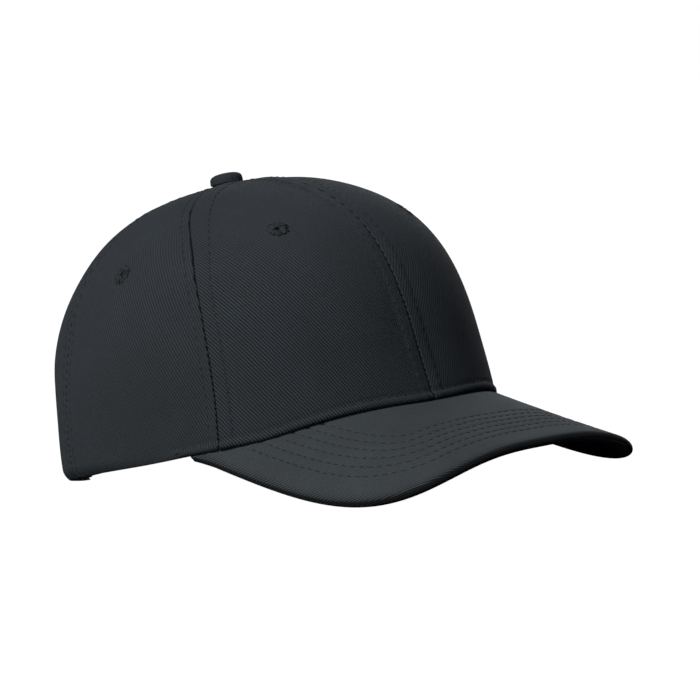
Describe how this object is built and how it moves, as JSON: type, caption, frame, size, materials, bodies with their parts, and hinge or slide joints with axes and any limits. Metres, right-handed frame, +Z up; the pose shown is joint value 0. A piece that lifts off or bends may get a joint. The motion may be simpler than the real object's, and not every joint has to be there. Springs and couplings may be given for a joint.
{
  "type": "baseball cap",
  "caption": "Structured black cotton twill baseball cap: panelled crown with sewn eyelets and covered button, pre-curved stitched visor, strap closure with metal buckle.",
  "frame": {"origin": "centre of the bounding box at the level the cap stands on", "axes": "+Z up, the visor points along -Y, +X is the wearer's left; the cap is pitched front-up by 10.0 degrees as it stands on its visor and the back of its hem"},
  "size_m": [0.179, 0.2684, 0.1341],
  "materials": {
    "twill": "brushed heavy cotton twill, charcoal black",
    "lining": "plain black cotton",
    "buckram": "stiffened open weave",
    "board": "bent sheet",
    "thread": "close black stitching",
    "label": "plain woven tape, blank",
    "buckle_metal": "satin",
    "button_metal": "dull"
  },
  "bodies": {
    "crown": {"arch_tape": "lining", "buckle_frame": "buckle_metal", "buckle_pin": "buckle_metal", "buckle_tab": "twill", "button_back": "button_metal", "button_cover": "twill", "button_shell": "button_metal", "care_label": "label", "eyelet_back_left": "thread", "eyelet_back_right": "thread", "eyelet_front_left": "thread", "eyelet_front_right": "thread", "eyelet_side_left": "thread", "eyelet_side_right": "thread", "hem_fold": "lining", "panel_back_left": "twill", "panel_back_right": "twill", "panel_front_left": "twill", "panel_front_right": "twill", "panel_side_left": "twill", "panel_side_right": "twill", "seam_tape_back": "lining", "seam_tape_back_left": "lining", "seam_tape_back_right": "lining", "seam_tape_front": "lining", "seam_tape_front_left": "lining", "seam_tape_front_right": "lining", "stiffener_front_left": "buckram", "stiffener_front_right": "buckram", "sweatband": "lining", "visor_board": "board", "visor_top_cover": "twill", "visor_under_cover": "twill"},
    "strap": {"closure_strap": "twill"},
    "lever": {"buckle_lever": "buckle_metal"}
  },
  "joints": [
    {"name": "strap_slide", "type": "hinge", "parent": "crown", "child": "strap", "pos_m": [0, 0.04675, 0.02779], "axis": [0, -0.1736, -0.9848], "range_deg": [-6.94, 13.89]},
    {"name": "buckle_lever_hinge", "type": "hinge", "parent": "crown", "child": "lever", "pos_m": [0.02848, 0.12552, 0.01391], "axis": [0, -0.1736, -0.9848], "range_deg": [0, 105]}
  ]
}
